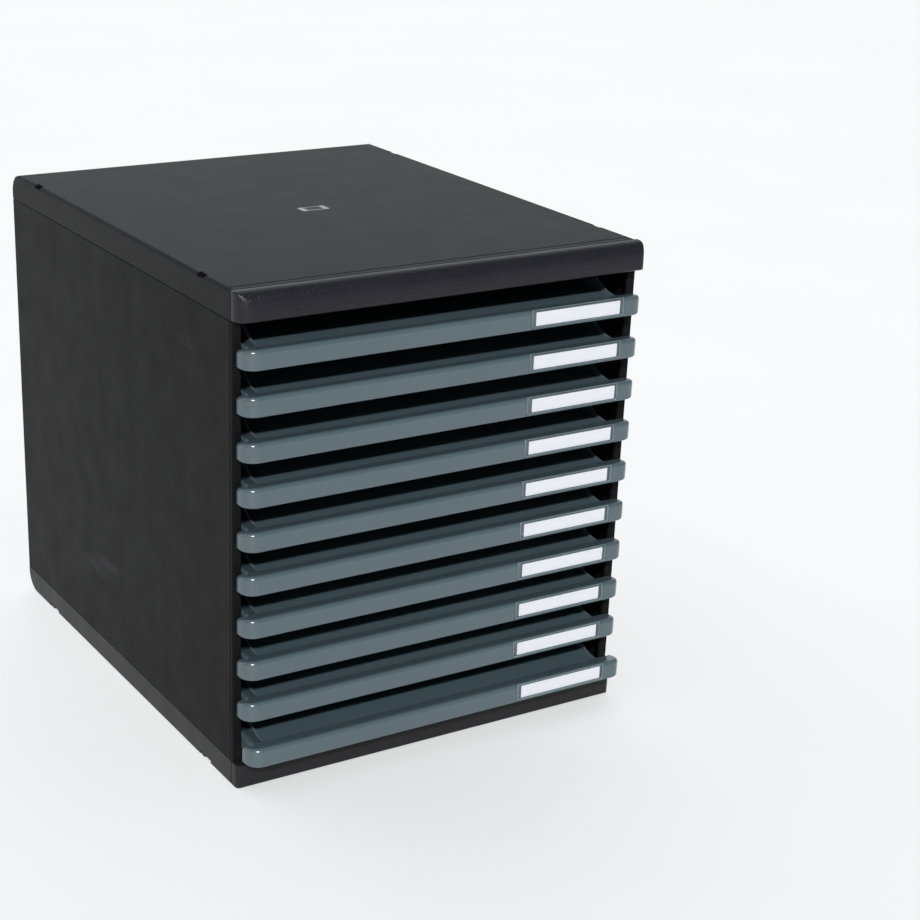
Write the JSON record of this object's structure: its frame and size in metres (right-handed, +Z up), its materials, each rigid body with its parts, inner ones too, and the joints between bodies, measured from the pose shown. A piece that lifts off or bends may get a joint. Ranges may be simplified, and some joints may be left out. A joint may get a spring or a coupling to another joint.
{
  "type": "desktop drawer cabinet",
  "caption": "Desktop filing cabinet: a black moulded case with a stack of shallow open-front blue-grey drawers that slide out, each with a label window.",
  "frame": {"origin": "centre of the whole object's box seen from above, on the surface it stands on", "axes": "+Z up, +Y to the back of the cabinet, +X to the right seen from the front; drawers open towards -Y"},
  "size_m": [0.288, 0.3702, 0.3201],
  "materials": {
    "black_shell": "black moulded polystyrene with a fine grain",
    "black_bar": "black polystyrene, satin, with a fine grain",
    "foot": "matt black",
    "drawer_plastic": "blue-grey polystyrene, smooth satin",
    "label_paper": "white card",
    "window_clear": "clear polystyrene",
    "silver_plate": "plain satin silver"
  },
  "bodies": {
    "case": {"base_shell": "black_shell", "top_cover": "black_shell", "front_bar": "black_bar", "side_panel_left": "black_shell", "side_panel_right": "black_shell", "back_panel": "black_shell", "cover_plate": "silver_plate", "foot_front_left": "foot", "foot_front_right": "foot", "foot_rear_left": "foot", "foot_rear_right": "foot"},
    "drawer_01": {"drawer_tray_01": "drawer_plastic", "label_card_01": "label_paper", "label_window_01": "window_clear"},
    "drawer_02": {"drawer_tray_02": "drawer_plastic", "label_card_02": "label_paper", "label_window_02": "window_clear"},
    "drawer_03": {"drawer_tray_03": "drawer_plastic", "label_card_03": "label_paper", "label_window_03": "window_clear"},
    "drawer_04": {"drawer_tray_04": "drawer_plastic", "label_card_04": "label_paper", "label_window_04": "window_clear"},
    "drawer_05": {"drawer_tray_05": "drawer_plastic", "label_card_05": "label_paper", "label_window_05": "window_clear"},
    "drawer_06": {"drawer_tray_06": "drawer_plastic", "label_card_06": "label_paper", "label_window_06": "window_clear"},
    "drawer_07": {"drawer_tray_07": "drawer_plastic", "label_card_07": "label_paper", "label_window_07": "window_clear"},
    "drawer_08": {"drawer_tray_08": "drawer_plastic", "label_card_08": "label_paper", "label_window_08": "window_clear"},
    "drawer_09": {"drawer_tray_09": "drawer_plastic", "label_card_09": "label_paper", "label_window_09": "window_clear"},
    "drawer_10": {"drawer_tray_10": "drawer_plastic", "label_card_10": "label_paper", "label_window_10": "window_clear"}
  },
  "joints": [
    {"name": "drawer_01_slide", "type": "slide", "parent": "case", "child": "drawer_01", "axis": [0, -1, 0], "range_m": [0, 0.26]},
    {"name": "drawer_02_slide", "type": "slide", "parent": "case", "child": "drawer_02", "axis": [0, -1, 0], "range_m": [0, 0.26]},
    {"name": "drawer_03_slide", "type": "slide", "parent": "case", "child": "drawer_03", "axis": [0, -1, 0], "range_m": [0, 0.26]},
    {"name": "drawer_04_slide", "type": "slide", "parent": "case", "child": "drawer_04", "axis": [0, -1, 0], "range_m": [0, 0.26]},
    {"name": "drawer_05_slide", "type": "slide", "parent": "case", "child": "drawer_05", "axis": [0, -1, 0], "range_m": [0, 0.26]},
    {"name": "drawer_06_slide", "type": "slide", "parent": "case", "child": "drawer_06", "axis": [0, -1, 0], "range_m": [0, 0.26]},
    {"name": "drawer_07_slide", "type": "slide", "parent": "case", "child": "drawer_07", "axis": [0, -1, 0], "range_m": [0, 0.26]},
    {"name": "drawer_08_slide", "type": "slide", "parent": "case", "child": "drawer_08", "axis": [0, -1, 0], "range_m": [0, 0.26]},
    {"name": "drawer_09_slide", "type": "slide", "parent": "case", "child": "drawer_09", "axis": [0, -1, 0], "range_m": [0, 0.26]},
    {"name": "drawer_10_slide", "type": "slide", "parent": "case", "child": "drawer_10", "axis": [0, -1, 0], "range_m": [-0.0075, 0.2525]}
  ]
}
